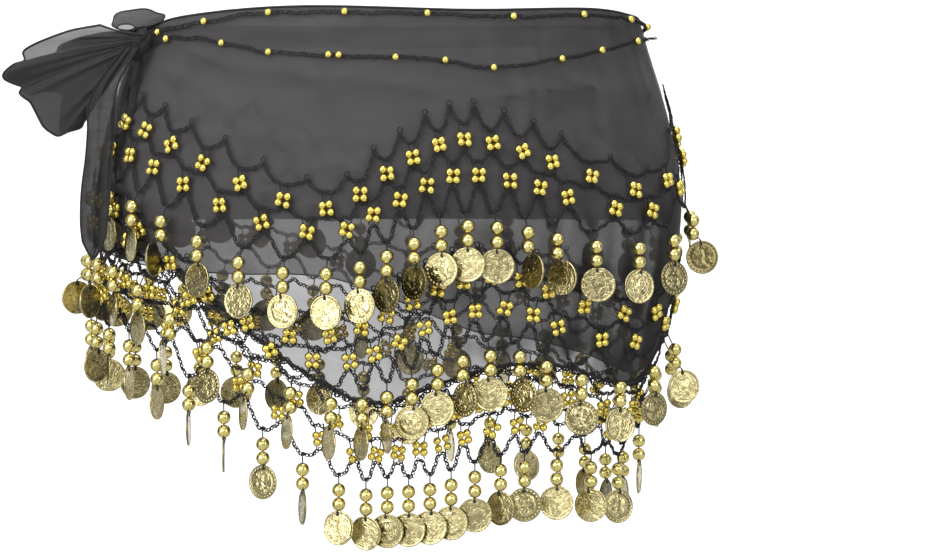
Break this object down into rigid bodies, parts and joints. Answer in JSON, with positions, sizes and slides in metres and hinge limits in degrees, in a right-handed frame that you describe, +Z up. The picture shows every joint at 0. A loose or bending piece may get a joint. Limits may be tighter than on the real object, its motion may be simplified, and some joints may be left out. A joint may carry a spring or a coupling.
{
  "type": "belly dance hip scarf",
  "caption": "Sheer black hip scarf tied at one side, with crochet nets, gold beads and hanging coins.",
  "frame": {"origin": "centre of the waist opening, level with the cloth's top edge, where the wearer's hips hold the scarf", "axes": "+Z up out of the waist opening, +X to the viewer's right across the hips, away from the knot, the front towards -Y"},
  "size_m": [0.4278, 0.2692, 0.3191],
  "materials": {
    "chiffon": "sheer, soft crinkle",
    "yarn": "matt crochet yarn",
    "gold": "polished, slightly worn"
  },
  "bodies": {
    "root": {"wrap_front": "chiffon", "wrap_back": "chiffon", "tie_knot": "chiffon", "fan_tail": "chiffon", "top_loop": "chiffon", "hanging_tail": "chiffon", "top_chain": "yarn", "belly_chain": "yarn", "net_1_front": "yarn", "net_1_back": "yarn", "net_2_front": "yarn", "net_2_back": "yarn", "net_3_front": "yarn", "net_3_back": "yarn", "fringe_1_front": "gold", "fringe_1_back": "gold", "fringe_2_front": "gold", "fringe_2_back": "gold", "fringe_3_front": "gold", "fringe_3_back": "gold"}
  },
  "joints": []
}
